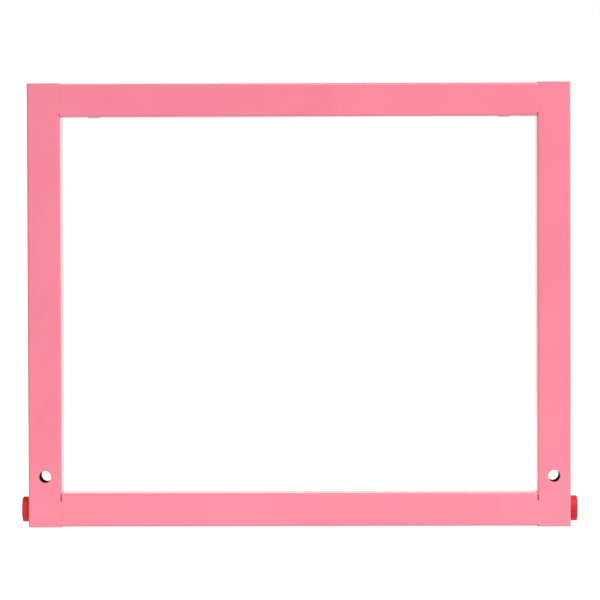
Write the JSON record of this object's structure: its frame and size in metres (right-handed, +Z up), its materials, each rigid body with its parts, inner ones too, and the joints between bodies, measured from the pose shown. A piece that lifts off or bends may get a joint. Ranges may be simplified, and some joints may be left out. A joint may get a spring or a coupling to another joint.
{
  "type": "rectangular tube frame with cross axle",
  "caption": "Rectangular frame of welded square tube round an open window, with a cross hole near the foot of each upright and a capped turning axle through its bottom rail.",
  "frame": {"origin": "on the surface that the frame stands on, at the middle of its width and depth", "axes": "+X to the frame's right along the axle, +Y from the front to the back, +Z up along the uprights"},
  "size_m": [0.4194, 0.025, 0.334],
  "materials": {
    "powder_coat": "glossy pink powder coat on steel",
    "plug_plastic": "satin moulded plastic in the colour of the coat",
    "bush_nylon": "natural moulded nylon",
    "plated_steel": "pale, frosted zinc plate",
    "axle_steel": "drawn steel rod",
    "spring_steel": "hardened spring steel",
    "cap_plastic": "satin red moulded plastic"
  },
  "bodies": {
    "frame": {"left_upright": "powder_coat", "right_upright": "powder_coat", "top_rail": "powder_coat", "bottom_rail": "powder_coat", "top_left_weld": "powder_coat", "top_right_weld": "powder_coat", "bottom_left_weld": "powder_coat", "bottom_right_weld": "powder_coat", "top_left_plug": "plug_plastic", "top_right_plug": "plug_plastic", "bottom_left_plug": "plug_plastic", "bottom_right_plug": "plug_plastic", "left_axle_bush": "bush_nylon", "right_axle_bush": "bush_nylon", "left_threaded_insert": "plated_steel", "right_threaded_insert": "plated_steel"},
    "axle": {"cross_axle": "axle_steel", "left_push_nut": "spring_steel", "right_push_nut": "spring_steel", "left_axle_cap": "cap_plastic", "right_axle_cap": "cap_plastic"}
  },
  "joints": [
    {"name": "axle_turn", "type": "hinge", "parent": "frame", "child": "axle", "pos_m": [0, 0, 0.013], "axis": [1, 0, 0], "continuous": true}
  ]
}
